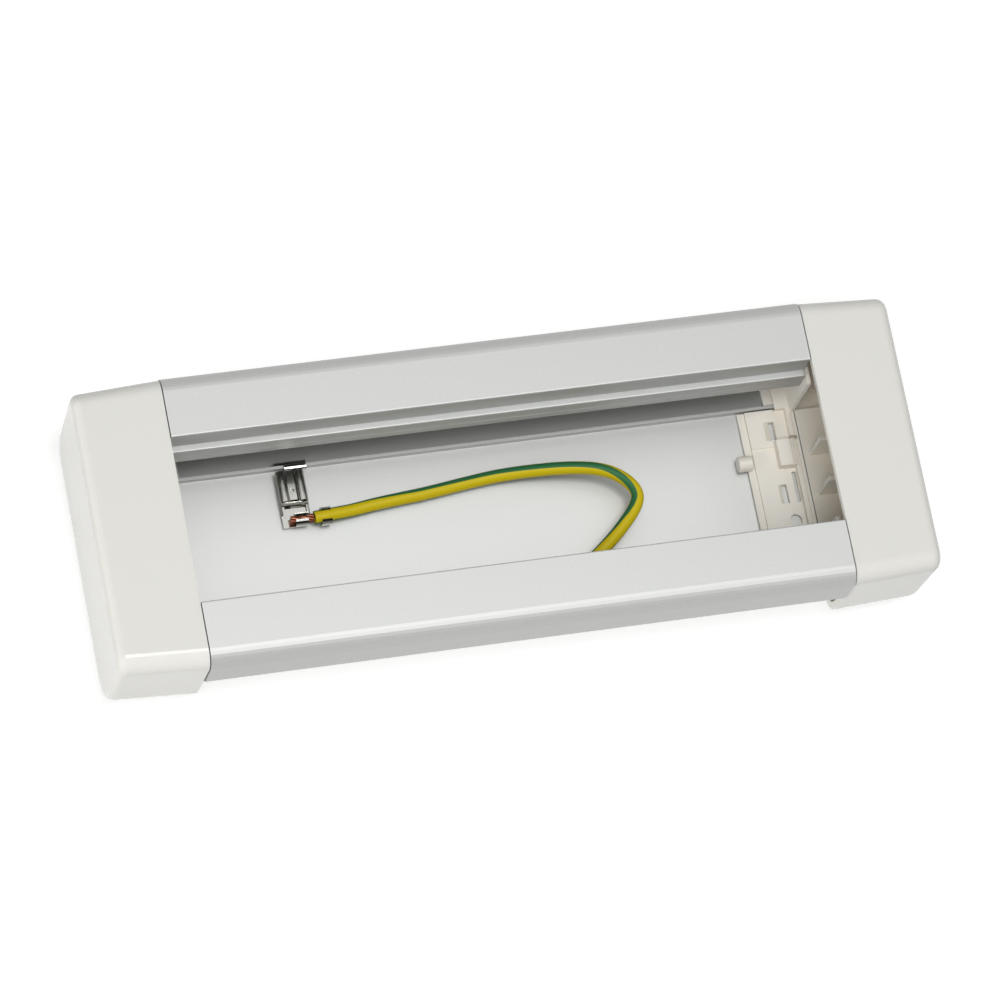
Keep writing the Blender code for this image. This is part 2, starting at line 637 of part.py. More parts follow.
def add_foot(plate):
    """The long foot on the channel's floor, with its toe, step, slots, pocket and hole."""
    foot_half = RIB_IN_Y - SEAT_GAP - FOOT_STEP / 4
    shelf_x = JOINT_X - FOOT_SHELF
    over = FOOT_TOP_Z + FOOT_PLATE
    outline = [(FOOT_X, -foot_half), (shelf_x + FOOT_STEP, -foot_half), (shelf_x + FOOT_STEP, foot_half),
               (FOOT_X, foot_half)]
    foot = extruded("foot", outline, FOOT_Z + FOOT_STEP / 8, FOOT_TOP_Z, "Z")
    toe = box("toe", (FOOT_X - FOOT_PLATE, -HALF_WIDTH, FOOT_TOP_Z - FOOT_TOE_DROP),
              (FOOT_X + FOOT_TOE_LENGTH, HALF_WIDTH, over))
    rim = box("rim", (FOOT_X, -foot_half, FOOT_Z + FOOT_STEP / 4),
              (FOOT_X + FOOT_TOE_RIM, foot_half, FOOT_TOP_Z - FOOT_TOE_DROP / 2))
    low_part = box("low_part", (FOOT_X, -HALF_WIDTH, FOOT_TOP_Z - FOOT_STEP), (JOINT_X, FOOT_STEP_Y, over))
    pocket_end = JOINT_X - SILL_WIDTH - FOOT_STEP / 2
    pocket_start = pocket_end - POCKET_LENGTH
    pocket_low, pocket_high = POCKET_Y - POCKET_WIDTH / 2, POCKET_Y + POCKET_WIDTH / 2
    rounded = POCKET_LENGTH * 0.45
    pocket = filleted([
        (pocket_start, pocket_low, rounded), (pocket_end, pocket_low, rounded),
        (pocket_end, pocket_high, 0.0), (pocket_start, pocket_high, 0.0)])
    hole_x = JOINT_X - HOLE_SETBACK
    slots = [slot_cutter(SLOT_Y - index * SLOT_PITCH) for index in range(2)]
    plate = cut(join(plate, join(cut(foot, toe, low_part), rim)), *slots)
    return cut(plate, extruded("pocket", pocket, FOOT_Z - FOOT_PLATE, over, "Z"),
               rod("hole", HOLE_RADIUS, (hole_x, HOLE_Y, FOOT_Z - FOOT_PLATE), (hole_x, HOLE_Y, over)))


def make_end_plate(name, has_foot):
    """An end plate at the right end: wall, shelf, screw bosses and, on one of the two, the foot."""
    plate = add_bosses(add_shelf(plate_wall(name)))
    if has_foot:
        plate = add_latch(add_peg(add_foot(plate)))
    return plate


def add_peg(plate):
    """The round peg at the toe, just clear of the floor."""
    z = FOOT_Z + PEG_RADIUS
    start = FOOT_X + FOOT_TOE_LENGTH / 2
    tip = FOOT_X + FOOT_TOE_LENGTH - PEG_LENGTH - PEG_TIP_RADIUS
    peg = rod("peg", PEG_RADIUS, (tip, PEG_Y, z), (start, PEG_Y, z))
    rim = peg.modifiers.new("rim", "BEVEL")
    rim.width = PEG_TIP_RADIUS
    rim.segments = 2
    rim.limit_method = "ANGLE"
    return join(plate, bake(peg))


def add_latch(plate):
    """The latch block in front of the sill, with a sloping top, a groove and a relief beside it."""
    end = JOINT_X - LATCH_SETBACK
    start = end - LATCH_LENGTH
    base = FOOT_TOP_Z - FOOT_STEP
    top = base + LATCH_HEIGHT
    buried = FOOT_Z + FOOT_STEP
    groove = end - LATCH_GROOVE * 2
    shape = [(start, buried), (end, buried), (end, top - LATCH_SLOPE), (groove, top - LATCH_SLOPE / 2),
             (groove, top - LATCH_SLOPE), (groove - LATCH_GROOVE, top - LATCH_SLOPE),
             (groove - LATCH_GROOVE, top), (start, top)]
    latch = extruded("latch", shape, LATCH_Y - LATCH_WIDTH / 2, LATCH_Y + LATCH_WIDTH / 2, "Y")
    relief_y = LATCH_Y + LATCH_WIDTH / 2
    relief = box("relief", (JOINT_X - SILL_WIDTH - FOOT_STEP, relief_y, FOOT_Z + FOOT_STEP),
                 (PLATE_X + PLATE_WALL / 2, relief_y + LATCH_RELIEF, SILL_Z + LATCH_RELIEF))
    return cut(join(plate, latch), relief)


def add_bosses(plate):
    """Bosses for the cap screws behind the wall, and the holes for the plate screws."""
    z_top = BOSS_Z + BOSS_HEIGHT
    for y in (-CAP_SCREW_Y, CAP_SCREW_Y):
        boss = rod("boss", CAP_SCREW_BORE + BOSS_WALL, (CAP_SCREW_X, y, BOSS_Z), (CAP_SCREW_X, y, z_top))
        web = box("web", (PLATE_X + PLATE_WALL / 2, y - BOSS_WEB / 2, BOSS_Z + BOSS_WEB / 2),
                  (CAP_SCREW_X, y + BOSS_WEB / 2, z_top - BOSS_WALL))
        bore = rod("bore", CAP_SCREW_BORE, (CAP_SCREW_X, y, BOSS_Z - BOSS_WALL),
                   (CAP_SCREW_X, y, z_top + BOSS_WALL))
        plate = cut(join(plate, web, boss), bore)
    for y in (-PORT_Y, PORT_Y):
        plate = cut(plate,
                    rod("port_hole", PORT_BORE, (PLATE_X - PLATE_WALL, y, -PORT_DEPTH),
                        (PLATE_BACK_X + PLATE_WALL, y, -PORT_DEPTH)))
    return plate


def make_screw(name, radius, length):
    """A self-tapping screw with a domed head and a cross recess, its head's seat at the origin."""
    head = radius + SCREW_HEAD_OVERHANG
    rim = SCREW_HEAD_HEIGHT * 0.45
    profile = [(0.0, SCREW_HEAD_HEIGHT)]
    for x, z in arc((0.0, rim), 1.0, 90.0, 0.0, 4)[1:]:
        profile.append((head * x, rim + (SCREW_HEAD_HEIGHT - rim) * (z - rim)))
    profile += [(head, 0.0), (radius, 0.0), (radius, radius - length), (0.0, -length)]
    screw = turned(name, profile, 20)
    arm = head * 0.55
    for half_x, half_y in ((arm, RECESS_WIDTH / 2), (RECESS_WIDTH / 2, arm)):
        slot = box("cross", (-half_x, -half_y, SCREW_HEAD_HEIGHT - RECESS_DEPTH),
                   (half_x, half_y, SCREW_HEAD_HEIGHT * 2))
        screw = cut(screw, slot)
    return screw


def make_screws():
    """Right-hand screws: two along X into the ports, two up into the bosses."""
    made = []
    for row, side in (("far", 1), ("near", -1)):
        plate_screw = make_screw("plate_screw_right_" + row, PLATE_SCREW_RADIUS, PLATE_SCREW_LENGTH)
        plate_screw.location = (PLATE_BACK_X + SEAT_GAP, side * PORT_Y, -PORT_DEPTH)
        plate_screw.rotation_euler = (0.0, math.pi / 2, 0.0)
        cap_screw = make_screw("cap_screw_right_" + row, CAP_SCREW_RADIUS, CAP_SCREW_LENGTH)
        cap_screw.location = (CAP_SCREW_X, side * CAP_SCREW_Y, CAP_SEAT_Z - SEAT_GAP)
        cap_screw.rotation_euler = (math.pi, 0.0, 0.0)
        made += [plate_screw, cap_screw]
    return made


def make_rubber_feet():
    """Rubber feet in their seats under the right cap, with a rounded lower edge."""
    made = []
    edge = RUBBER_THICKNESS / 4
    for row, side in (("far", 1), ("near", -1)):
        profile = [(0.0, RUBBER_THICKNESS), (RUBBER_RADIUS, RUBBER_THICKNESS), (RUBBER_RADIUS, edge),
                   (RUBBER_RADIUS - edge, 0.0), (0.0, 0.0)]
        foot = turned("foot_right_" + row, profile)
        foot.location = (END_X - RUBBER_SETBACK, side * RUBBER_Y, -TOP_Z)
        made.append(foot)
    return made


def turned_about(piece, name):
    """The same moulding or fitting at the left end, turned half round about Z."""
    copy = add_object(name, piece.data)
    half_turn = Matrix.Rotation(math.pi, 4, "Z")
    copy.matrix_basis = half_turn @ piece.matrix_basis
    return copy


def make_earth_clip():
    """One bent sheet: a hook over the far rib and the flat tab in front of it."""
    sheet = CLIP_SHEET
    back_y = RIB_OUT_Y + SEAT_GAP + sheet / 2
    front_y = RIB_IN_Y - SEAT_GAP - sheet / 2
    top_z = RIB_TOP_Z + SEAT_GAP + sheet / 2
    low_z = FLOOR_Z + SEAT_GAP
    low_x, high_x = CLIP_X - CLIP_WIDTH / 2, CLIP_X + CLIP_WIDTH / 2
    bend = CLIP_BEND_RADIUS
    path = [(back_y, low_z)] + arc((back_y - bend, top_z - bend), bend, 0.0, 90.0, SMALL_ARC_STEPS)
    path += arc((front_y + bend, top_z - bend), bend, 90.0, 180.0, SMALL_ARC_STEPS) + [(front_y, TAB_Z)]
    clip = extruded("earth_clip", sheet_outline(path, sheet), low_x, high_x, "X")
    open_side = box("open_side", (low_x - sheet, back_y - sheet / 2, top_z - sheet * 2),
                    (high_x - CLIP_HOOK_WIDTH, front_y - sheet, top_z + sheet))
    tab_x = SOCKET_X - TAB_WIDTH / 2
    tip_y = TAB_FRONT_Y - TAB_LENGTH
    point = TAB_SHEET
    tab_shape = [(tab_x, front_y), (tab_x, tip_y + point), (tab_x + point, tip_y),
                 (tab_x + TAB_WIDTH - point, tip_y), (tab_x + TAB_WIDTH, tip_y + point),
                 (tab_x + TAB_WIDTH, front_y)]
    tab = extruded("tab", tab_shape, TAB_Z, TAB_Z + TAB_SHEET, "Z")
    hole_y = tip_y + TAB_HOLE_INSET
    hole = rod("hole", TAB_HOLE_RADIUS, (SOCKET_X, hole_y, TAB_Z - TAB_SHEET),
               (SOCKET_X, hole_y, TAB_Z + TAB_SHEET * 2), 16)
    return cut(join(clip, tab), open_side, hole)


def crimp_barrel(name, centre_x, length, inner_radius, open_degrees):
    """A crimp: sheet wrapped round the wire from below, with its wings curled in on top."""
    half_open = open_degrees / 2
    middle = inner_radius + SOCKET_SHEET / 2
    path = arc((LEAD_Y, LEAD_Z), middle, 90.0 + half_open, 450.0 - half_open, ARC_STEPS * 2)
    return extruded(name, sheet_outline(path, SOCKET_SHEET), centre_x - length / 2, centre_x + length / 2,
                    "X")


def make_receptacle():
    """The flag receptacle: rolled sides over the tab, neck with a cross saddle, and two crimps."""
    sheet = SOCKET_SHEET
    base = SOCKET_BASE_Z + sheet / 2
    half = TAB_WIDTH / 2 + SEAT_GAP + sheet / 2
    roll_x = half - SOCKET_ROLL_RADIUS
    roll = arc((roll_x, base + SOCKET_ROLL_RADIUS), SOCKET_ROLL_RADIUS, -90.0, SOCKET_ROLL_DEGREES,
               ARC_STEPS * 2)
    path = [(-x, z) for x, z in reversed(roll)] + roll
    body = extruded("earth_receptacle", sheet_outline([(SOCKET_X + x, z) for x, z in path], sheet), NECK_Y,
                    SOCKET_FRONT_Y, "Y")
    neck_roll = arc((half - NECK_ROLL_RADIUS, base + NECK_ROLL_RADIUS), NECK_ROLL_RADIUS,
                    -90.0, NECK_ROLL_DEGREES)
    neck_path = [(-x, z) for x, z in reversed(neck_roll)] + neck_roll
    neck = extruded("neck", sheet_outline([(SOCKET_X + x, z) for x, z in neck_path], sheet),
                    FLAG_Y, NECK_Y + sheet, "Y")
    saddle_y = NECK_Y - sheet
    saddle_path = [(saddle_y + SADDLE_LENGTH * (0.5 - step / 6),
                    base + SADDLE_HEIGHT * math.sin(math.pi * step / 6)) for step in range(7)]
    saddle = extruded("saddle", sheet_outline(saddle_path, sheet), SOCKET_X - half, SOCKET_X + half, "X")
    strand_grip = STRAND_RADIUS * 3 + SEAT_GAP
    lead_grip = LEAD_DIAMETER / 2 + SEAT_GAP
    flag_z = LEAD_Z - strand_grip
    end_x = GRIP_CRIMP_X + GRIP_CRIMP_LENGTH / 2
    flag_left = SOCKET_X - half - sheet / 2
    flag = box("flag", (flag_left, LEAD_Y - FLAG_WIDTH / 2, SOCKET_BASE_Z),
               (WIRE_CRIMP_X + WIRE_CRIMP_LENGTH / 2, FLAG_Y + sheet, SOCKET_BASE_Z + sheet))
    strap_low = LEAD_Z - lead_grip - sheet
    strap = box("strap", (WIRE_CRIMP_X, LEAD_Y - STRAND_RADIUS * 2, strap_low),
                (end_x, LEAD_Y + STRAND_RADIUS * 2, strap_low + sheet))
    post = box("post", (WIRE_CRIMP_X - WIRE_CRIMP_LENGTH / 2, LEAD_Y - STRAND_RADIUS * 2, strap_low),
               (WIRE_CRIMP_X + WIRE_CRIMP_LENGTH / 2, LEAD_Y + STRAND_RADIUS * 2, flag_z))
    wire_crimp = crimp_barrel("wire_crimp", WIRE_CRIMP_X, WIRE_CRIMP_LENGTH, strand_grip, WIRE_OPEN_DEGREES)
    grip_crimp = crimp_barrel("grip_crimp", GRIP_CRIMP_X, GRIP_CRIMP_LENGTH, lead_grip, GRIP_OPEN_DEGREES)
    return join(body, neck, saddle, flag, post, strap, wire_crimp, grip_crimp)


def make_strands():
    """The bare conductor: six strands round a seventh, as one lobed rod."""
    outline = []
    lobe = STRAND_RADIUS * 2
    for index in range(STRAND_COUNT):
        angle = 360.0 / STRAND_COUNT * index
        centre = (LEAD_Y + lobe * math.cos(math.radians(angle)),
                  LEAD_Z + lobe * math.sin(math.radians(angle)))
        reach = 180.0 - 360.0 / STRAND_COUNT
        outline += arc(centre, STRAND_RADIUS, angle - reach / 2 - 25.0, angle + reach / 2 + 25.0, 6)
    end = LEAD_START_X - SEAT_GAP
    return extruded("earth_strands", outline, end - STRAND_LENGTH, end, "X")


def smooth_route(points, spacing):
    """Points a set distance apart on a smooth curve through the route's own points."""
    knots = [Vector(p) for p in points]
    knots = [2 * knots[0] - knots[1]] + knots + [2 * knots[-1] - knots[-2]]
    dense = []
    for a, b, c, d in zip(knots, knots[1:], knots[2:], knots[3:]):
        for step in range(16):
            t = step / 16
            square = (2 * a - 5 * b + 4 * c - d) * t ** 2
            cube = (3 * b - a - 3 * c + d) * t ** 3
            dense.append((2 * b + (c - a) * t + square + cube) / 2)
    dense.append(knots[-2])
    lengths = [0.0]
    for before, after in zip(dense, dense[1:]):
        lengths.append(lengths[-1] + (after - before).length)
    count = round(lengths[-1] / spacing)
    even, place = [], 0
    for index in range(count + 1):
        wanted = lengths[-1] * index / count
        while place < len(lengths) - 2 and lengths[place + 1] < wanted:
            place += 1
        share = (wanted - lengths[place]) / (lengths[place + 1] - lengths[place])
        even.append(dense[place].lerp(dense[place + 1], share))
    return even


def make_lead():
    """The insulated earth lead as a plain tube along its route."""
    curve = bpy.data.curves.new("earth_lead", "CURVE")
    curve.dimensions = "3D"
    curve.bevel_depth = LEAD_DIAMETER / 2
    curve.bevel_resolution = 2
    curve.use_fill_caps = True
    spline = curve.splines.new("POLY")
    route = smooth_route(LEAD_ROUTE, LEAD_POINT_SPACING)
    spline.points.add(len(route) - 1)
    for point, place in zip(spline.points, route):
        point.co = (*place, 1.0)
    return bake(add_object("earth_lead", curve))


def make_ferrule():
    """The ferrule on the lead's far end: a flared collar and the crimped tube."""
    profile = [
        (0.0, 0.0), (COLLAR_RADIUS, 0.0), (COLLAR_RADIUS, -COLLAR_LENGTH * 0.7),
        (FERRULE_RADIUS, -COLLAR_LENGTH),
        (FERRULE_RADIUS, -COLLAR_LENGTH - FERRULE_LENGTH), (0.0, -COLLAR_LENGTH - FERRULE_LENGTH),
    ]
    ferrule = turned("lead_ferrule", profile, 16)
    end, before = Vector(LEAD_ROUTE[-1]), Vector(LEAD_ROUTE[-2])
    away = (end - before).normalized()
    ferrule.rotation_euler = (-away).to_track_quat("Z", "Y").to_euler()
    ferrule.location = end + away * SEAT_GAP
    return ferrule


def finish(pieces, surface):
    """Give pieces their material, smooth their round faces and keep their edges sharp."""
    for piece in pieces:
        if not piece.data.materials:
            piece.data.materials.append(surface)
        piece.data.shade_smooth()
        piece.data.set_sharp_from_angle(angle=math.radians(35.0))


for leftover in list(bpy.data.objects):
    bpy.data.objects.remove(leftover)
PARTS = bpy.data.collections.new("desktop_socket_housing")
bpy.context.scene.collection.children.link(PARTS)
TOP_FACE = bpy.data.objects.new("top_face", None)
TOP_FACE.location = (0.0, 0.0, TOP_Z)
PARTS.objects.link(TOP_FACE)

aluminium = material("anodised_aluminium", (0.66, 0.67, 0.66), 0.38, 1.0)
white_plastic = material("white_plastic", (0.72, 0.71, 0.68), 0.35)
inner_plastic = material("inner_plastic", (0.74, 0.71, 0.65), 0.45)
zinc = material("zinc_plate", (0.60, 0.62, 0.63), 0.30, 1.0)
rubber = material("black_rubber", (0.03, 0.03, 0.03), 0.80)
nickel = material("nickel_plate", (0.62, 0.60, 0.56), 0.22, 1.0)
copper = material("copper", (0.60, 0.23, 0.12), 0.35, 1.0)
insulation = material("earth_insulation", (0.52, 0.40, 0.01), 0.45)
ferrule_blue = material("ferrule_collar", (0.05, 0.12, 0.45), 0.45)

cap_right = make_cap("end_cap_right", True)
cap_left = turned_about(make_cap("cap_pattern", False), "end_cap_left")
bpy.data.objects.remove(bpy.data.objects["cap_pattern"])
plate_right = make_end_plate("end_plate_right", True)
plate_left = turned_about(make_end_plate("plate_pattern", False), "end_plate_left")
bpy.data.objects.remove(bpy.data.objects["plate_pattern"])
screws = make_screws()
feet = make_rubber_feet()
screws += [turned_about(piece, piece.name.replace("right", "left")) for piece in list(screws)]
feet += [turned_about(piece, piece.name.replace("right", "left")) for piece in list(feet)]

finish([make_profile()], aluminium)
finish([cap_right, cap_left], white_plastic)
finish([plate_right, plate_left], inner_plastic)
finish(screws, zinc)
finish(feet + [make_grommet()], rubber)
finish([make_earth_clip(), make_receptacle()], nickel)
finish([make_strands()], copper)
finish([make_lead()], insulation)
finish([make_ferrule()], ferrule_blue)
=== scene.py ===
# %% [markdown]
# # A desktop socket housing, dressed and lit
#
# The object is an empty housing for desk sockets: an aluminium extrusion with an open channel
# 45 mm wide, a white moulded cap on each end, and a green and yellow earth lead that is already
# pushed on to a clip in the channel. The CAD model gives the exact shapes and places. This lesson
# gives them their finishes, makes the few pieces that need finer work than CAD, and lights them.

# %% Load the CAD model as a fixed frame
import math

import bmesh
import bpy
from mathutils import Matrix, Vector


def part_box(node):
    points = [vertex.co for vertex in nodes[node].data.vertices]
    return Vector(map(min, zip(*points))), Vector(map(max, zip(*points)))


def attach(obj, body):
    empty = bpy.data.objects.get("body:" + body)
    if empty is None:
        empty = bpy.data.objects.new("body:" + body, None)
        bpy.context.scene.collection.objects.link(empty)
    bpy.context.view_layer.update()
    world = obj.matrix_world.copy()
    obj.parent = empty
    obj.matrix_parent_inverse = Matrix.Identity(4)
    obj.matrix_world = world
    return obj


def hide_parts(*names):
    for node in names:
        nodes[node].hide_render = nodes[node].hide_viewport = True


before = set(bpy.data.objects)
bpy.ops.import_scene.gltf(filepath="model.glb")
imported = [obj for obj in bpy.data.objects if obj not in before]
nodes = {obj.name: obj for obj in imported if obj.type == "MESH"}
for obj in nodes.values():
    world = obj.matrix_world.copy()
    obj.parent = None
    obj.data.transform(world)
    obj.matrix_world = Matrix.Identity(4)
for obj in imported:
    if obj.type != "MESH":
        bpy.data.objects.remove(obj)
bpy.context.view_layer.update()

# %% [markdown]
# ## Camera
#
# A photograph taken from far away with a long lens shows parallel edges nearly parallel, as this one
# does. So the camera stands about 1.6 m off, high over the near left corner, and its lens is long.
# Its place was worked out from the straight edges of the housing. A camera looks along its own -Z,
# so its matrix is built from the direction it looks in and the direction that is up in the picture.

# %% Camera
CAMERA_PLACE = Vector((-0.3591, -0.4710, 1.5065))
CAMERA_LOOK = Vector((0.2244, 0.2942, -0.9290)).normalized()
CAMERA_UP = Vector((0.1215, 0.9374, 0.3263))
SENSOR_MM = 36.0
LENS_MM = 219.1

scene = bpy.context.scene
camera = bpy.data.objects.new("camera", bpy.data.cameras.new("camera"))
scene.collection.objects.link(camera)
across = CAMERA_LOOK.cross(CAMERA_UP).normalized()
upright = across.cross(CAMERA_LOOK)
turned = Matrix((across, upright, -CAMERA_LOOK)).transposed().to_4x4()
camera.matrix_world = Matrix.Translation(CAMERA_PLACE) @ turned
camera.data.sensor_width = SENSOR_MM
camera.data.lens = LENS_MM
scene.camera = camera
print("camera distance:", round(CAMERA_PLACE.length, 3), "m")

# %% [markdown]
# ## The earth lead's path
#
# The lead is a single stranded wire in soft plastic, 3.5 mm thick. One end is crimped into the
# receptacle. From there it lies on the channel's floor, rises in a loop, turns back over the near
# rib and runs under the near flange to a ferrule, where it waits for the first socket.
#
# Its points are the ones that the CAD model uses, each with its height above the channel's floor. A
# Catmull-Rom curve passes through every one of them, which keeps the place exact, and a few steps
# between two points make it round.

# %% A smooth path through the lead's points
CHANNEL_FLOOR = 0.0032
LEAD_DIAMETER = 0.0035
LEAD_STEPS = 6
LEAD_ROUTE = (
    (-0.0469, 0.0058, 0.00275), (-0.0445, 0.0059, 0.00275), (-0.0415, 0.0062, 0.0026),
    (-0.0365, 0.0067, 0.00215), (-0.0305, 0.0075, 0.0021), (-0.0231, 0.0082, 0.0021),
    (-0.0172, 0.0087, 0.0021), (-0.0105, 0.0095, 0.0021), (-0.0037, 0.0103, 0.00225),
    (0.0032, 0.0109, 0.00265), (0.0094, 0.01095, 0.0033), (0.0145, 0.0107, 0.0041),
    (0.0192, 0.0103, 0.0049), (0.0241, 0.0097, 0.0055), (0.0287, 0.0088, 0.006),
    (0.0323, 0.0076, 0.0063), (0.0348, 0.0062, 0.0065), (0.0371, 0.0043, 0.0066),
    (0.0387, 0.0022, 0.0067), (0.0394, 0.0004, 0.0067), (0.03935, -0.0013, 0.0067),
    (0.0385, -0.0032, 0.0067), (0.0371, -0.0051, 0.00665), (0.0354, -0.0069, 0.0066),
    (0.033, -0.0093, 0.0064), (0.0304, -0.0116, 0.0062), (0.0278, -0.0137, 0.006),
    (0.024, -0.0166, 0.0056), (0.0195, -0.0196, 0.0049), (0.0145, -0.0222, 0.0042),
    (0.009, -0.0242, 0.003), (0.003, -0.0253, 0.0022), (-0.004, -0.0256, 0.0021),
    (-0.012, -0.0255, 0.0021), (-0.02, -0.0252, 0.0021), (-0.028, -0.0253, 0.0021),
    (-0.036, -0.0255, 0.0023), (-0.044, -0.0256, 0.0024),
)


def smooth_path(points, steps):
    """Points on a smooth curve through the given ones, with steps pieces between two of them."""
    knots = [Vector(p) for p in points]
    knots = [2 * knots[0] - knots[1]] + knots + [2 * knots[-1] - knots[-2]]
    path = []
    for a, b, c, d in zip(knots, knots[1:], knots[2:], knots[3:]):
        for step in range(steps):
            t = step / steps
            square = (2 * a - 5 * b + 4 * c - d) * t ** 2
            cube = (3 * b - a - 3 * c + d) * t ** 3
            path.append((2 * b + (c - a) * t + square + cube) / 2)
    path.append(knots[-2])
    return path


lead_path = smooth_path([(x, y, rise + CHANNEL_FLOOR) for x, y, rise in LEAD_ROUTE], LEAD_STEPS)

# %% [markdown]
# ## A tube that keeps count
#
# A curve with a round bevel would make the tube too, but here the coloured stripe has to follow the
# wire as it twists. So the tube is a small circle, extruded from point to point along the path.
# Every vertex keeps the direction in which it lies from the stripe's middle. The material reads
# that and never has to know where in space the wire is.

# %% A tube that is extruded along a path
SHARP_DEGREES = 40.0
NO_STRIPE = ((0.0, 0.0), (1.0, 0.0))


def add_piece(name, work, replaced=()):
    """Make a finished bmesh an object that rides on the housing and stands for some CAD nodes."""
    mesh = bpy.data.meshes.new(name)
    work.to_mesh(mesh)
    work.free()
    mesh.shade_smooth()
    mesh.set_sharp_from_angle(angle=math.radians(SHARP_DEGREES))
    piece = bpy.data.objects.new(name, mesh)
    scene.collection.objects.link(piece)
    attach(piece, "root")
    if replaced:
        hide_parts(*replaced)
    return piece


def between(keys, place):
    """The value at place, on straight lines between (place, value) keys."""
    for (before, low), (after, high) in zip(keys, keys[1:]):
        if place <= after:
            share = max(0.0, (place - before) / (after - before))
            return low + (high - low) * share
    return keys[-1][1]


def tube_along(work, path, radius, sides, top, stripe_keys=NO_STRIPE):
    """Extrude a circle along path. top is the direction from which the angle round it is counted."""
    layers = work.verts.layers
    facing = layers.float_vector.get("from_stripe") or layers.float_vector.new("from_stripe")
    turn = layers.float.get("turn") or layers.float.new("turn")
    ring = bmesh.ops.create_circle(work, cap_ends=False, segments=sides, radius=radius)["verts"]
    for vertex in ring:
        vertex[turn] = math.atan2(vertex.co.y, vertex.co.x)
    edges = list({edge for vertex in ring for edge in vertex.link_edges})
    ends = [edges]
    travelled = 0.0
    for index, point in enumerate(path):
        if index:
            made = bmesh.ops.extrude_edge_only(work, edges=edges)["geom"]
            ring = [part for part in made if isinstance(part, bmesh.types.BMVert)]
            edges = [part for part in made if isinstance(part, bmesh.types.BMEdge)]
            travelled += (point - path[index - 1]).length
        ahead = (path[min(index + 1, len(path) - 1)] - path[max(index - 1, 0)]).normalized()
        up = (top - ahead * top.dot(ahead)).normalized()
        left = up.cross(ahead)
        stripe = math.radians(between(stripe_keys, travelled))
        for vertex in ring:
            angle = vertex[turn]
            vertex.co = point + (up * math.cos(angle) + left * math.sin(angle)) * radius
            vertex[facing] = (math.cos(angle - stripe), math.sin(angle - stripe), travelled)
    ends.append(edges)
    for end in ends:
        bmesh.ops.edgenet_fill(work, edges=end)


# %% [markdown]
# ## The lead's twist
#
# Seen from the camera, the stripe starts hidden at the lead's far edge, comes up beside the top,
# crosses it in the bend and goes down on the inner side. The keys give its middle as an angle from
# the top, in degrees and positive to the left of the way, at distances along the lead.

# %% The lead
LEAD_SIDES = 32
STRIPE_KEYS = (
    (0.000, 92.0), (0.010, 88.0), (0.018, 76.0), (0.028, 62.0),
    (0.050, 50.0), (0.060, 43.0), (0.072, 38.0), (0.078, 33.0),
    (0.083, 14.0), (0.088, -10.0), (0.094, -42.0), (0.100, -64.0),
    (0.108, -84.0), (0.120, -98.0), (0.140, -125.0), (0.215, -200.0),
)

work = bmesh.new()
tube_along(work, lead_path, LEAD_DIAMETER / 2, LEAD_SIDES, -CAMERA_LOOK, STRIPE_KEYS)
bmesh.ops.recalc_face_normals(work, faces=work.faces)
lead = add_piece("earth_lead_striped", work, ("earth_lead",))
print("lead triangles:", sum(len(p.vertices) - 2 for p in lead.data.polygons))

# %% [markdown]
# ## The bare strands
#
# Where the insulation ends, the conductor is six strands that wind slowly round a seventh. Each is
# a thin tube along its own helix, so the crimp has real copper wires in it and the light breaks on
# them.

# %% The strands in the crimp
STRAND_RADIUS = 0.00037
STRAND_SIDES = 10
STRAND_LAY = 0.016
STRAND_POINTS = 24
OUTER_STRANDS = 6
STRAND_RING = STRAND_RADIUS * 2.04
strand_low, strand_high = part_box("earth_strands")
strand_y = (strand_low[1] + strand_high[1]) / 2
strand_z = (strand_low[2] + strand_high[2]) / 2

work = bmesh.new()
for strand in range(OUTER_STRANDS + 1):
    out = STRAND_RING if strand < OUTER_STRANDS else 0.0
    path = []
    for step in range(STRAND_POINTS + 1):
        x = strand_low[0] + (strand_high[0] - strand_low[0]) * step / STRAND_POINTS
        start = math.radians(360.0 * strand / OUTER_STRANDS)
        angle = start + 2 * math.pi * (x - strand_low[0]) / STRAND_LAY
        path.append(Vector((x, strand_y + out * math.cos(angle), strand_z + out * math.sin(angle))))
    tube_along(work, path, STRAND_RADIUS, STRAND_SIDES, Vector((0.0, 0.0, 1.0)))
bmesh.ops.recalc_face_normals(work, faces=work.faces)
strands = add_piece("copper_strands", work, ("earth_strands",))
print("strands:", strand_low, strand_high)

# %% [markdown]
# ## The ferrule
#
# The far end wears a bootlace ferrule: a flared plastic collar and a crimped, plated tube. Both are
# turned shapes. A half profile is spun round the lead's own direction, and the tube then gets the
# narrow waists that the crimping tool leaves.

# %% The ferrule on the lead's far end
FERRULE_GAP = 0.0003
COLLAR_PROFILE = (
    (0.0, 0.00175), (0.0, 0.0021), (0.0006, 0.0021), (0.0034, 0.00195),
    (0.0046, 0.0013), (0.0050, 0.00125), (0.0050, 0.0009),
)
TUBE_PROFILE = (
    (0.0030, 0.0), (0.0030, 0.0009), (0.0051, 0.00105),
    (0.0126, 0.00105), (0.0130, 0.0009), (0.0130, 0.0),
)
SPIN_STEPS = 32
CRIMP_BITES = 5
FIRST_BITE = 0.0058
BITE_STEP = 0.0013
BITE_HALF = 0.0003
BITE_MARGIN = 0.00005
BITE_SHRINK = 0.86
lead_way = (lead_path[-1] - lead_path[-2]).normalized()
along_lead = lead_way.to_track_quat("X", "Z").to_matrix().to_4x4()
ferrule_frame = Matrix.Translation(lead_path[-1] + lead_way * FERRULE_GAP) @ along_lead


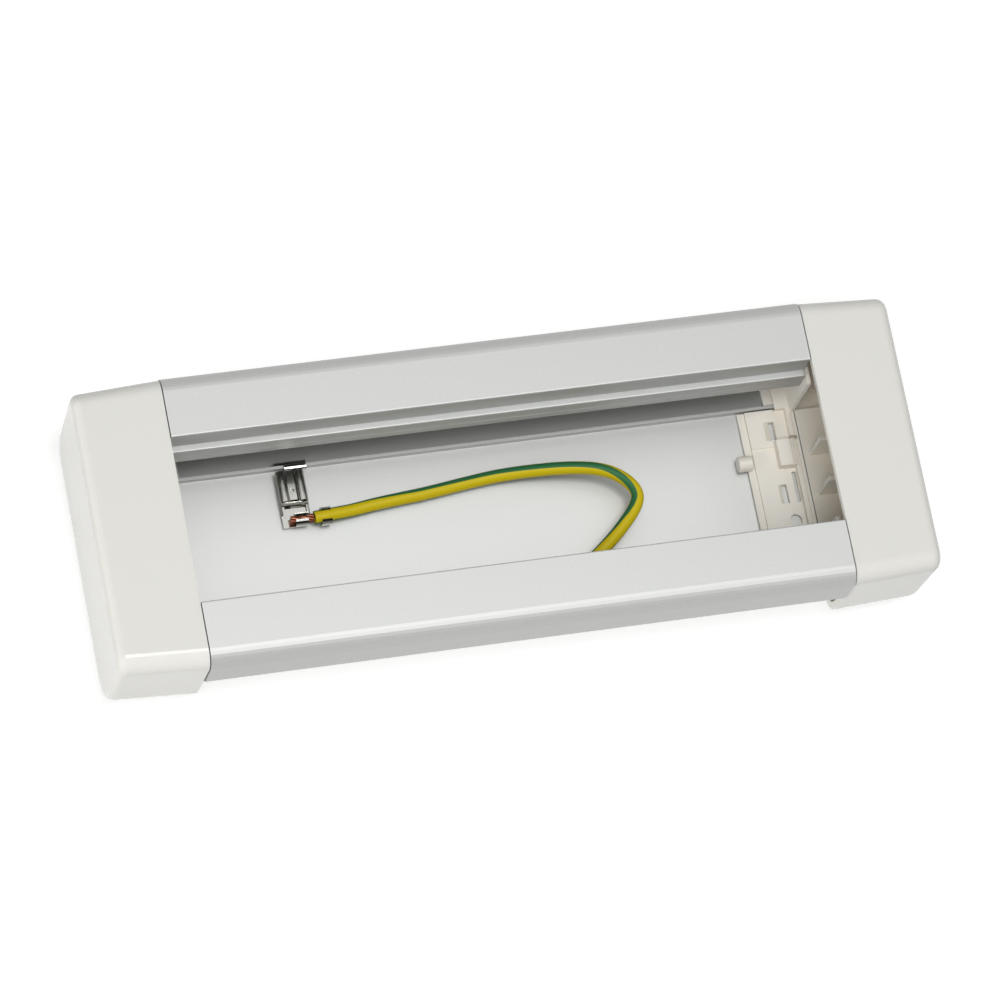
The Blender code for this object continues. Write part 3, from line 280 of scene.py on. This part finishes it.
def spun(profile, steps, close=False):
    """A bmesh of (distance along X, radius) points spun round X."""
    spin = bmesh.new()
    verts = [spin.verts.new((along, 0.0, radius)) for along, radius in profile]
    if close:
        verts.append(verts[0])
    for before, after in zip(verts, verts[1:]):
        spin.edges.new((before, after))
    bmesh.ops.spin(spin, geom=spin.verts[:] + spin.edges[:], cent=(0, 0, 0), axis=(1, 0, 0),
                   angle=2 * math.pi, steps=steps, use_merge=True)
    bmesh.ops.remove_doubles(spin, verts=spin.verts, dist=1e-6)
    bmesh.ops.recalc_face_normals(spin, faces=spin.faces)
    return spin


collar_work = spun(COLLAR_PROFILE, SPIN_STEPS, close=True)
collar_work.transform(ferrule_frame)
collar = add_piece("ferrule_collar", collar_work, ("lead_ferrule",))
tube_work = spun(TUBE_PROFILE, SPIN_STEPS)
for bite in range(CRIMP_BITES):
    middle = FIRST_BITE + BITE_STEP * bite
    for offset in (-BITE_HALF, BITE_HALF):
        everything = tube_work.verts[:] + tube_work.edges[:] + tube_work.faces[:]
        bite_edge = (middle + offset, 0, 0)
        bmesh.ops.bisect_plane(tube_work, geom=everything, plane_co=bite_edge, plane_no=(1, 0, 0))
    for vertex in tube_work.verts:
        if abs(vertex.co.x - middle) < BITE_HALF + BITE_MARGIN:
            vertex.co.y *= BITE_SHRINK
            vertex.co.z *= BITE_SHRINK
tube_work.transform(ferrule_frame)
tube = add_piece("ferrule_tube", tube_work)

# %% [markdown]
# ## Colours and nodes
#
# Colours are picked as sRGB hex values, as a paint program shows them. Cycles works with linear
# light, so one function turns them. Another adds a node with its settings and links, which keeps
# each material down to the lines that say something about the real finish.
#
# Real surfaces are never quite even. So most materials let their roughness, their colour and their
# dents follow a pattern of grains, whose size is given in millimetres.

# %% Helpers for materials
MM = 0.001


def colour(code):
    """An sRGB hex colour as linear RGBA."""
    parts = [int(code[i:i + 2], 16) / 255 for i in (1, 3, 5)]
    return (*[p / 12.92 if p <= 0.04045 else ((p + 0.055) / 1.055) ** 2.4 for p in parts], 1.0)


def add_node(tree, kind, inputs=(), **settings):
    """A node with its settings, and with its inputs set to values or linked to sockets."""
    made = tree.nodes.new(kind)
    for name, value in settings.items():
        setattr(made, name, value)
    for name, value in dict(inputs).items():
        if isinstance(value, bpy.types.NodeSocket):
            tree.links.new(value, made.inputs[name])
        else:
            made.inputs[name].default_value = value
    return made


def new_material(name, base, roughness, metallic=0.0, **more):
    """A material with its shader set, and the Object coordinates that its patterns read."""
    material = bpy.data.materials.new(name)
    material.use_nodes = True
    tree = material.node_tree
    shader = tree.nodes["Principled BSDF"]
    shader.inputs["Base Color"].default_value = colour(base)
    shader.inputs["Roughness"].default_value = roughness
    shader.inputs["Metallic"].default_value = metallic
    for socket, value in more.items():
        shader.inputs[socket.replace("_", " ")].default_value = value
    place = add_node(tree, "ShaderNodeTexCoord").outputs["Object"]
    return material, tree, shader, place


def grains(tree, place, size_mm, detail=2.0, stretch=(1.0, 1.0, 1.0)):
    """A 0 to 1 pattern of grains of that size, longer along an axis where stretch is over 1."""
    scale = [1.0 / (size_mm * MM * factor) for factor in stretch]
    scaled = add_node(tree, "ShaderNodeMapping", {"Vector": place, "Scale": scale}).outputs["Vector"]
    inputs = {"Vector": scaled, "Scale": 1.0, "Detail": detail}
    return add_node(tree, "ShaderNodeTexNoise", inputs).outputs["Fac"]


def between_ends(tree, value, low, high):
    """What a 0 to 1 value picks between two numbers, or between two colours or their sockets."""
    if isinstance(low, float):
        inputs = {"Value": value, "To Min": low, "To Max": high}
        return add_node(tree, "ShaderNodeMapRange", inputs).outputs["Result"]
    inputs = {"Factor": value, 6: low, 7: high}
    return add_node(tree, "ShaderNodeMix", inputs, data_type="RGBA").outputs[2]


def vary(tree, shader, socket, value, low, high):
    """Let a socket of the shader go from low to high as the value goes from 0 to 1."""
    tree.links.new(between_ends(tree, value, low, high), shader.inputs[socket])


def dent(tree, shader, height, depth_mm, strength=1.0):
    """Dent the surface that deep, in millimetres, as the height goes from 1 to 0."""
    inputs = {"Height": height, "Distance": depth_mm * MM, "Strength": strength}
    dented = add_node(tree, "ShaderNodeBump", inputs).outputs["Normal"]
    tree.links.new(dented, shader.inputs["Normal"])


def give(material, *names):
    """Put a material on CAD nodes or pieces."""
    for name in names:
        mesh = nodes[name].data if name in nodes else bpy.data.objects[name].data
        mesh.materials.clear()
        mesh.materials.append(material)


# %% [markdown]
# ## Anodised aluminium
#
# The profile is extruded, brushed and etched to a fine satin and then anodised clear. The etch leaves
# a grain of tiny facets that sparkle, and the die leaves faint lines along the extrusion. The oxide
# layer dulls the mirror, so part of the light comes back matt. On the channel's floor the faces that
# look up, out to the tops of the ribs, get a lighter colour, a painted light that brightens the floor
# and the rib tops. The real grain is some 0.1 mm, which would vanish here, so it is drawn at 0.45 mm.

# %% Anodised aluminium
GRAIN_MM = 0.45
DIE_LINE_MM = 0.30
DIE_LINE_SHARE = 0.15
METAL_SHARE = 0.7
# Where the painted light on the channel floor goes: up to this height, and this far out from the middle.
PAINTED_LIGHT_TOP_MM = 6.0
PAINTED_LIGHT_HALF_MM = 21.6
LEVEL_ENOUGH = 0.9


def painted_floor_light_mask(tree, place):
    """1 where the painted light on the channel floor goes: faces that look up, low down and no further out
    than the ribs; 0 on all others.
    """
    spot = add_node(tree, "ShaderNodeSeparateXYZ", {"Vector": place}).outputs
    aside = add_node(tree, "ShaderNodeMath", {0: spot["Y"]}, operation="ABSOLUTE").outputs["Value"]
    normal = add_node(tree, "ShaderNodeTexCoord").outputs["Normal"]
    upward = add_node(tree, "ShaderNodeSeparateXYZ", {"Vector": normal}).outputs["Z"]
    tests = (
        (spot["Z"], "LESS_THAN", PAINTED_LIGHT_TOP_MM * MM),
        (aside, "LESS_THAN", PAINTED_LIGHT_HALF_MM * MM),
        (upward, "GREATER_THAN", LEVEL_ENOUGH),
    )
    passed = 1.0
    for value, kind, limit in tests:
        passes = add_node(tree, "ShaderNodeMath", {0: value, 1: limit}, operation=kind).outputs["Value"]
        inputs = {0: passes, 1: passed}
        passed = add_node(tree, "ShaderNodeMath", inputs, operation="MULTIPLY").outputs["Value"]
    return passed


aluminium, tree, shader, place = new_material("anodised_aluminium_satin", "#B1B2AF", 0.50, METAL_SHARE)
etched = grains(tree, place, GRAIN_MM, 3.0, (1.8, 1.0, 1.0))
lines = grains(tree, place, DIE_LINE_MM, 2.0, (120.0, 1.0, 1.0))
surface = add_node(tree, "ShaderNodeMix", {"Factor": DIE_LINE_SHARE, 2: etched, 3: lines}).outputs[0]
brushed = between_ends(tree, surface, colour("#AFB0AE"), colour("#BFC0BE"))
# Painted light: the faces that look up on the channel's floor and the rib tops get this lighter colour.
painted_floor_light = between_ends(tree, surface, colour("#C3C4C2"), colour("#CFD0CE"))
vary(tree, shader, "Base Color", painted_floor_light_mask(tree, place), brushed, painted_floor_light)
vary(tree, shader, "Roughness", etched, 0.44, 0.56)
dent(tree, shader, surface, 0.02, 0.5)
give(aluminium, "housing_profile")

# %% [markdown]
# ## Moulded plastics
#
# The caps are ABS, moulded against a finely polished tool. White ABS is slightly translucent, and
# light that has passed through a wall or gone to and fro between walls comes out warmer. That light
# is painted: an Ambient Occlusion node finds where a piece's own walls shade it, and there the caps
# get a lighter, creamier colour, a painted bounce light, and the plates a darker, warmer one, a
# painted shade. The inner plates are an unpainted polyamide with a duller surface.

# %% White cap plastic and the inner plates' plastic
CAP_WHITE = "#E6E5DF"
PLATE_WHITE = "#EFEBE2"
BOUNCE_MM = 40.0
BOUNCE_SAMPLES = 4
TRANSLUCENCE = {"Subsurface_Weight": 0.2, "Subsurface_Scale": 2.0 * MM}


def paint_hollow_light_and_shade(tree, shader, shaded, open_air):
    """Painted light and shade: one colour where the piece's own walls shade it, and another where it is
    open to the air.
    """
    inputs = {"Distance": BOUNCE_MM * MM}
    shade = add_node(tree, "ShaderNodeAmbientOcclusion", inputs, samples=BOUNCE_SAMPLES, only_local=True)
    vary(tree, shader, "Base Color", shade.outputs["AO"], colour(shaded), colour(open_air))


cap_plastic, tree, shader, place = new_material(
    "white_abs_moulded", CAP_WHITE, 0.15,
    Specular_IOR_Level=0.3, Subsurface_Radius=(1.0, 0.85, 0.7), **TRANSLUCENCE)
vary(tree, shader, "Roughness", grains(tree, place, 9.0), 0.12, 0.18)
dent(tree, shader, grains(tree, place, 1.6), 0.012, 0.4)
# Painted bounce light: the cap is lighter and creamier where its own walls shade it.
paint_hollow_light_and_shade(tree, shader, "#FAF1E2", CAP_WHITE)
give(cap_plastic, "end_cap_right", "end_cap_left")

plate_plastic, tree, shader, place = new_material(
    "natural_polyamide_moulded", PLATE_WHITE, 0.42,
    Subsurface_Radius=(1.0, 0.8, 0.6), **TRANSLUCENCE)
vary(tree, shader, "Roughness", grains(tree, place, 4.0), 0.36, 0.48)
dent(tree, shader, grains(tree, place, 0.5), 0.01, 0.5)
# Painted shade: the plate is a little darker and warmer where its own walls shade it.
paint_hollow_light_and_shade(tree, shader, "#EFE6D8", PLATE_WHITE)
give(plate_plastic, "end_plate_right", "end_plate_left")

# %% [markdown]
# ## Plated sheet metal, copper and screws
#
# The clip and the receptacle are stamped from thin brass strip and plated with nickel, which is a
# slightly warm grey mirror with fine rolling marks. Fresh copper is orange and dulls to brown.
# Zinc plate on the screws is bluish and a little rougher.

# %% Nickel, copper and zinc
nickel, tree, shader, place = new_material("nickel_plated_strip", "#C8C7C2", 0.14, 1.0)
rolling = grains(tree, place, 0.12, 2.0, (1.0, 30.0, 1.0))
vary(tree, shader, "Roughness", rolling, 0.08, 0.20)
dent(tree, shader, rolling, 0.004, 0.5)
give(nickel, "earth_clip", "earth_receptacle", "ferrule_tube")

copper, tree, shader, place = new_material("bare_copper_wire", "#A8664A", 0.32, 1.0)
vary(tree, shader, "Base Color", grains(tree, place, 0.8, 3.0), colour("#7C4230"), colour("#BE7E5E"))
give(copper, "copper_strands")

zinc, tree, shader, place = new_material("zinc_plated_steel", "#BFC3C6", 0.30, 1.0)
vary(tree, shader, "Roughness", grains(tree, place, 0.7, 3.0), 0.22, 0.42)
give(zinc, *[name for name in nodes if "_screw_" in name])

# %% [markdown]
# ## Soft PVC with a stripe
#
# Earth wire is always green and yellow. The insulation is soft PVC with a dull gloss, extruded in
# two colours, so the edge of the stripe is sharp but not perfectly straight. The tube kept the
# direction from the stripe's middle: its first number is 1 there and -1 on the other side, where
# there is a second stripe.

# %% Green and yellow PVC
EARTH_YELLOW = "#CDB80E"
EARTH_GREEN = "#2B683E"
STRIPE_HALF_DEGREES = 32.0
EDGE_BLUR = 0.02

pvc, tree, shader, place = new_material("green_yellow_pvc", EARTH_YELLOW, 0.48, Specular_IOR_Level=0.3)
facing = add_node(tree, "ShaderNodeAttribute", attribute_name="from_stripe").outputs["Vector"]
across_stripe = add_node(tree, "ShaderNodeSeparateXYZ", {"Vector": facing}).outputs["X"]
either = add_node(tree, "ShaderNodeMath", {0: across_stripe}, operation="ABSOLUTE").outputs["Value"]
stripe_edge = math.cos(math.radians(STRIPE_HALF_DEGREES))
inputs = {"Value": either, "From Min": stripe_edge - EDGE_BLUR, "From Max": stripe_edge + EDGE_BLUR}
in_stripe = add_node(tree, "ShaderNodeMapRange", inputs).outputs["Result"]
vary(tree, shader, "Base Color", in_stripe, colour(EARTH_YELLOW), colour(EARTH_GREEN))
dent(tree, shader, grains(tree, place, 0.6), 0.01, 0.6)
give(pvc, "earth_lead_striped")

# %% [markdown]
# ## Rubber and the ferrule's collar
#
# The feet and the grommet are black rubber, matt and a little dusty. The collar is polypropylene
# in the blue that marks a wire of 2.5 square millimetres.

# %% Rubber and polypropylene
rubber, tree, shader, place = new_material("black_rubber_matt", "#2A2A2A", 0.75)
vary(tree, shader, "Base Color", grains(tree, place, 0.8, 4.0), colour("#222222"), colour("#383836"))
dent(tree, shader, grains(tree, place, 0.3), 0.02, 0.6)
give(rubber, "cable_grommet", *[name for name in nodes if name.startswith("foot_")])

collar_plastic, tree, shader, place = new_material("blue_polypropylene", "#3B5FA6", 0.40)
vary(tree, shader, "Roughness", grains(tree, place, 1.0), 0.34, 0.46)
give(collar_plastic, "ferrule_collar")

# %% [markdown]
# ## Floor and world
#
# The photograph is a studio shot on white. The floor is pale, and the camera, mirrors and glass see
# it with some light of its own added, which takes it to white but keeps the soft shadow. The world
# is white for them too, while it adds little light to the object.

# %% Floor and world
FLOOR_SIZE = 6.0
FLOOR_GLOW = 0.60
WORLD_LEVEL = 0.10

work = bmesh.new()
bmesh.ops.create_grid(work, x_segments=1, y_segments=1, size=FLOOR_SIZE / 2)
floor_mesh = bpy.data.meshes.new("floor")
work.to_mesh(floor_mesh)
work.free()
floor = bpy.data.objects.new("floor", floor_mesh)
scene.collection.objects.link(floor)


def seen_by_eye(tree):
    """1 for rays that come from the camera, a mirror or glass, and 0 for those that light matt surfaces."""
    rays = add_node(tree, "ShaderNodeLightPath").outputs
    seen = rays["Is Camera Ray"]
    for kind in ("Is Glossy Ray", "Is Transmission Ray"):
        inputs = {0: seen, 1: rays[kind]}
        seen = add_node(tree, "ShaderNodeMath", inputs, operation="MAXIMUM").outputs["Value"]
    return seen


floor_paint, tree, shader, place = new_material("white_floor_paper", "#C9C9C8", 0.9)
vary(tree, shader, "Roughness", grains(tree, place, 30.0), 0.85, 0.95)
shader.inputs["Emission Color"].default_value = colour("#FFFFFF")
vary(tree, shader, "Emission Strength", seen_by_eye(tree), 0.0, FLOOR_GLOW)
floor_mesh.materials.append(floor_paint)

world = bpy.data.worlds.new("studio")
scene.world = world
world.use_nodes = True
tree = world.node_tree
background = tree.nodes["Background"]
background.inputs["Color"].default_value = colour("#FFFFFF")
vary(tree, background, "Strength", seen_by_eye(tree), WORLD_LEVEL, 1.0)

# %% [markdown]
# ## Lamps
#
# The overhead lamp gives the satin metal its sheen, so it is the one that the metal mirrors. The
# front lamp stands beside the camera and reaches into the channel without a shadow that it can see.
# The low lamp lights the upright faces, the side lamp draws the loop's faint shadow, and the small
# glint lamp makes a thin bright line on the near edges. Together they light a level face at about
# 0.95, so a colour renders about as it is written.

# %% Lamps
LAMPS = (
    # name, place, size, power in watts, and whether mirrors show it
    ("overhead_lamp", (0.08, -0.10, 1.25), 0.45, 6.2, True),
    ("front_lamp", (-0.35, -0.45, 1.15), 0.5, 4.4, False),
    ("low_lamp", (-1.15, -0.65, 0.40), 0.8, 8.5, False),
    ("side_lamp", (0.80, 0.05, 1.00), 0.3, 1.4, False),
    ("glint_lamp", (0.18, -0.67, 1.00), 0.10, 0.25, True),
)
for name, where, size, power, in_mirrors in LAMPS:
    light = bpy.data.lights.new(name, "AREA")
    light.size = size
    light.energy = power
    lamp = bpy.data.objects.new(name, light)
    lamp.location = where
    lamp.visible_glossy = in_mirrors
    lamp.rotation_euler = (-Vector(where)).to_track_quat("-Z", "Y").to_euler()
    scene.collection.objects.link(lamp)

scene.view_settings.view_transform = "Standard"
